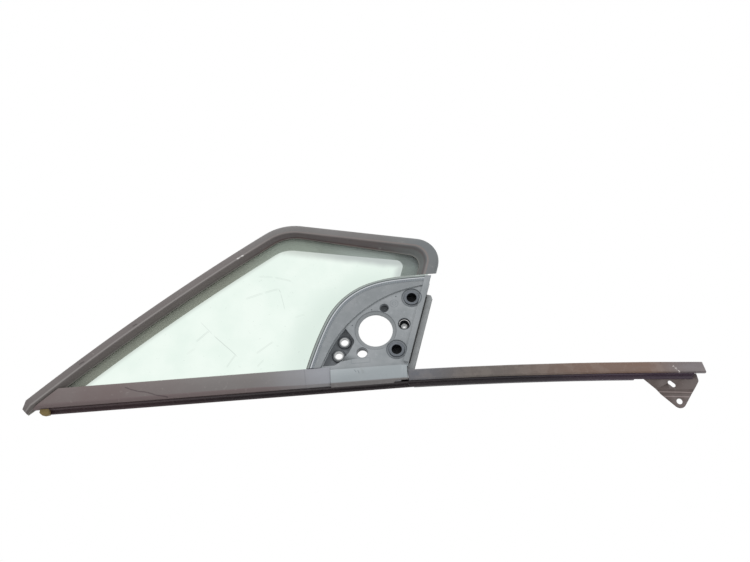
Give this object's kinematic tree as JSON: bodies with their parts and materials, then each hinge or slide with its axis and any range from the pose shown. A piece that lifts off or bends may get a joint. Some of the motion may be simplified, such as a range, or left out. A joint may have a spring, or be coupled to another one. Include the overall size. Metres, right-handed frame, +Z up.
{
  "type": "quarter window glass",
  "caption": "Fixed front-door quarter window: glass in a moulded frame with a mirror base, a guide channel for the drop glass and a belt rail with an end bracket.",
  "frame": {"origin": "centre of the round hub hole in the mirror base, in its wall", "axes": "+X along the sill towards the rear of the door, +Y into the car, +Z up; the outer side faces -Y"},
  "size_m": [1.0349, 0.0389, 0.3468],
  "materials": {
    "green_glass": "clear, faintly green float glass",
    "frame_rubber": "faded satin grey-brown moulded rubber",
    "black_rubber": "matt black rubber",
    "gasket_rubber": "matt olive-grey rubber",
    "foam": "aged olive-brown foam",
    "base_plastic": "weathered blue-grey moulded plastic",
    "black_plastic": "matt black moulded plastic",
    "zinc_steel": "dulled zinc plate",
    "grey_steel": "satin grey coating",
    "dark_steel": "satin black paint",
    "strip_finish": "satin grey-brown coating",
    "bracket_steel": "thin dark primer"
  },
  "bodies": {
    "root": {"quarter_glass": "green_glass", "glass_frame_seal": "frame_rubber", "sill_moulding": "frame_rubber", "sill_channel": "dark_steel", "glass_setting_strip": "black_rubber", "rail_end_foam": "foam", "mirror_base": "base_plastic", "mirror_base_gasket": "gasket_rubber", "mirror_insert": "zinc_steel", "mirror_bush_upper": "black_plastic", "mirror_bush_lower": "black_plastic", "fixing_sleeve_upper": "zinc_steel", "fixing_sleeve_lower": "zinc_steel", "guide_channel": "grey_steel", "glass_run": "black_rubber", "run_edge_trim": "black_rubber", "waist_strip": "strip_finish", "belt_rail": "dark_steel", "belt_wiper": "black_rubber", "end_bracket": "bracket_steel"}
  },
  "joints": []
}
